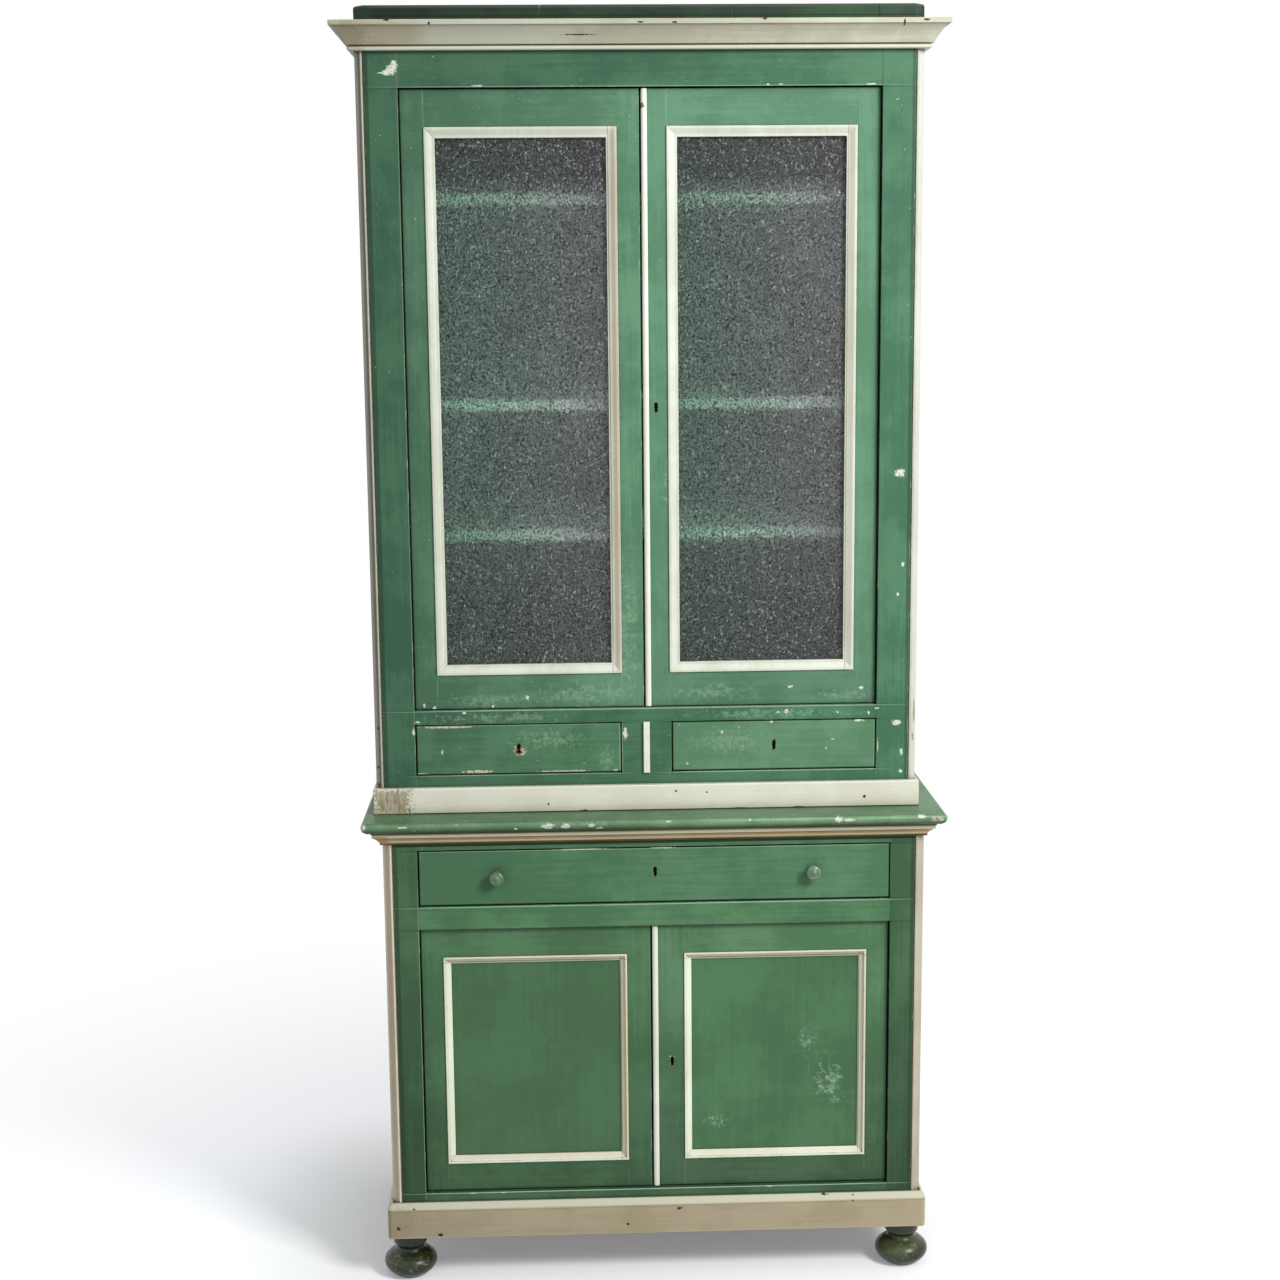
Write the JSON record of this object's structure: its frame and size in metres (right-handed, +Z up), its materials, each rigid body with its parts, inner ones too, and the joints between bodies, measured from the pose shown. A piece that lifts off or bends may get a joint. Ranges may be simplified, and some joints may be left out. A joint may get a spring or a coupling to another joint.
{
  "type": "glazed hutch cupboard on a base with a drawer and panelled doors",
  "caption": "A tall painted two-part cupboard with glazed doors and small drawers above a counter, a big drawer and panelled doors below, on turned bun feet.",
  "frame": {"origin": "on the floor, at the middle of the outline seen from above", "axes": "+X to the right seen from the front, +Y to the back, +Z up"},
  "size_m": [0.9786, 0.476, 2.1115],
  "materials": {
    "green_paint": "worn mid green oil paint on pine",
    "cream_paint": "worn cream oil paint on pine",
    "dark_green_paint": "dark green paint, rubbed at the edges",
    "bare_pine": "unpainted aged pine",
    "rippled_glass": "hammered translucent glass",
    "iron": "blackened iron, a little rusty",
    "steel_bolt": "plain steel"
  },
  "bodies": {
    "case": {"bun_feet": "dark_green_paint", "base_sides": "green_paint", "base_back_boards": "bare_pine", "base_floor": "bare_pine", "base_shelf": "bare_pine", "base_dust_board": "bare_pine", "base_bearers": "bare_pine", "base_face_frame": "green_paint", "base_corner_posts": "cream_paint", "base_plinth": "cream_paint", "counter_top": "green_paint", "counter_moulding": "cream_paint", "hutch_sides": "green_paint", "hutch_back_boards": "bare_pine", "hutch_dust_boards": "bare_pine", "hutch_shelves": "bare_pine", "hutch_bearers": "bare_pine", "hutch_top_boards": "green_paint", "hutch_face_frame": "green_paint", "hutch_corner_posts": "cream_paint", "hutch_centre_strip": "cream_paint", "hutch_plinth": "cream_paint", "cornice": "cream_paint", "door_pivots": "iron"},
    "base_door_left": {"base_door_left_frame": "green_paint", "base_door_left_panel": "green_paint", "base_door_left_moulding": "cream_paint", "base_door_bolt_plate": "iron"},
    "base_door_right": {"base_door_right_frame": "green_paint", "base_door_right_panel": "green_paint", "base_door_right_moulding": "cream_paint", "base_door_strip": "cream_paint", "base_door_lock": "iron"},
    "hutch_door_left": {"hutch_door_left_frame": "green_paint", "hutch_door_left_glass": "rippled_glass", "hutch_door_left_beads": "cream_paint", "hutch_door_bolt_plate": "iron"},
    "hutch_door_right": {"hutch_door_right_frame": "green_paint", "hutch_door_right_glass": "rippled_glass", "hutch_door_right_beads": "cream_paint", "hutch_door_strip": "cream_paint", "hutch_door_lock": "iron"},
    "big_drawer": {"big_drawer_front": "green_paint", "big_drawer_box": "bare_pine", "big_drawer_lock": "iron", "big_drawer_knobs": "dark_green_paint"},
    "small_drawer_left": {"small_drawer_left_front": "green_paint", "small_drawer_left_box": "bare_pine", "small_drawer_left_lock": "iron"},
    "small_drawer_right": {"small_drawer_right_front": "green_paint", "small_drawer_right_box": "bare_pine", "small_drawer_right_lock": "iron"},
    "base_lock_bolt": {"base_door_lock_bolt": "steel_bolt"},
    "hutch_lock_bolt": {"hutch_door_lock_bolt": "steel_bolt"},
    "big_drawer_bolt": {"big_drawer_lock_bolt": "steel_bolt"},
    "small_left_bolt": {"small_drawer_left_lock_bolt": "steel_bolt"},
    "small_right_bolt": {"small_drawer_right_lock_bolt": "steel_bolt"},
    "base_slide_bolt": {"base_door_slide_bolt": "iron"},
    "hutch_slide_bolt": {"hutch_door_slide_bolt": "iron"}
  },
  "joints": [
    {"name": "base_door_left_hinge", "type": "hinge", "parent": "case", "child": "base_door_left", "pos_m": [-0.37805, -0.189, 0.157], "axis": [0, 0, -1], "range_deg": [0, 95]},
    {"name": "base_door_right_hinge", "type": "hinge", "parent": "case", "child": "base_door_right", "pos_m": [0.39255, -0.189, 0.157], "axis": [0, 0, 1], "range_deg": [0, 95]},
    {"name": "hutch_door_left_hinge", "type": "hinge", "parent": "case", "child": "hutch_door_left", "pos_m": [-0.37905, -0.147, 0.9845], "axis": [0, 0, -1], "range_deg": [0, 95]},
    {"name": "hutch_door_right_hinge", "type": "hinge", "parent": "case", "child": "hutch_door_right", "pos_m": [0.37255, -0.147, 0.9845], "axis": [0, 0, 1], "range_deg": [0, 95]},
    {"name": "big_drawer_slide", "type": "slide", "parent": "case", "child": "big_drawer", "axis": [0, -1, 0], "range_m": [0, 0.28]},
    {"name": "small_drawer_left_slide", "type": "slide", "parent": "case", "child": "small_drawer_left", "axis": [0, -1, 0], "range_m": [0, 0.24]},
    {"name": "small_drawer_right_slide", "type": "slide", "parent": "case", "child": "small_drawer_right", "axis": [0, -1, 0], "range_m": [0, 0.24]},
    {"name": "base_lock_throw", "type": "slide", "parent": "base_door_right", "child": "base_lock_bolt", "axis": [-1, 0, 0], "range_m": [0, 0.012]},
    {"name": "hutch_lock_throw", "type": "slide", "parent": "hutch_door_right", "child": "hutch_lock_bolt", "axis": [-1, 0, 0], "range_m": [0, 0.012]},
    {"name": "big_drawer_lock_throw", "type": "slide", "parent": "big_drawer", "child": "big_drawer_bolt", "axis": [0, 0, 1], "range_m": [0, 0.008]},
    {"name": "small_drawer_left_lock_throw", "type": "slide", "parent": "small_drawer_left", "child": "small_left_bolt", "axis": [0, 0, 1], "range_m": [0, 0.008]},
    {"name": "small_drawer_right_lock_throw", "type": "slide", "parent": "small_drawer_right", "child": "small_right_bolt", "axis": [0, 0, 1], "range_m": [0, 0.008]},
    {"name": "base_slide_bolt_throw", "type": "slide", "parent": "base_door_left", "child": "base_slide_bolt", "axis": [0, 0, 1], "range_m": [0, 0.012]},
    {"name": "hutch_slide_bolt_throw", "type": "slide", "parent": "hutch_door_left", "child": "hutch_slide_bolt", "axis": [0, 0, 1], "range_m": [0, 0.012]}
  ]
}
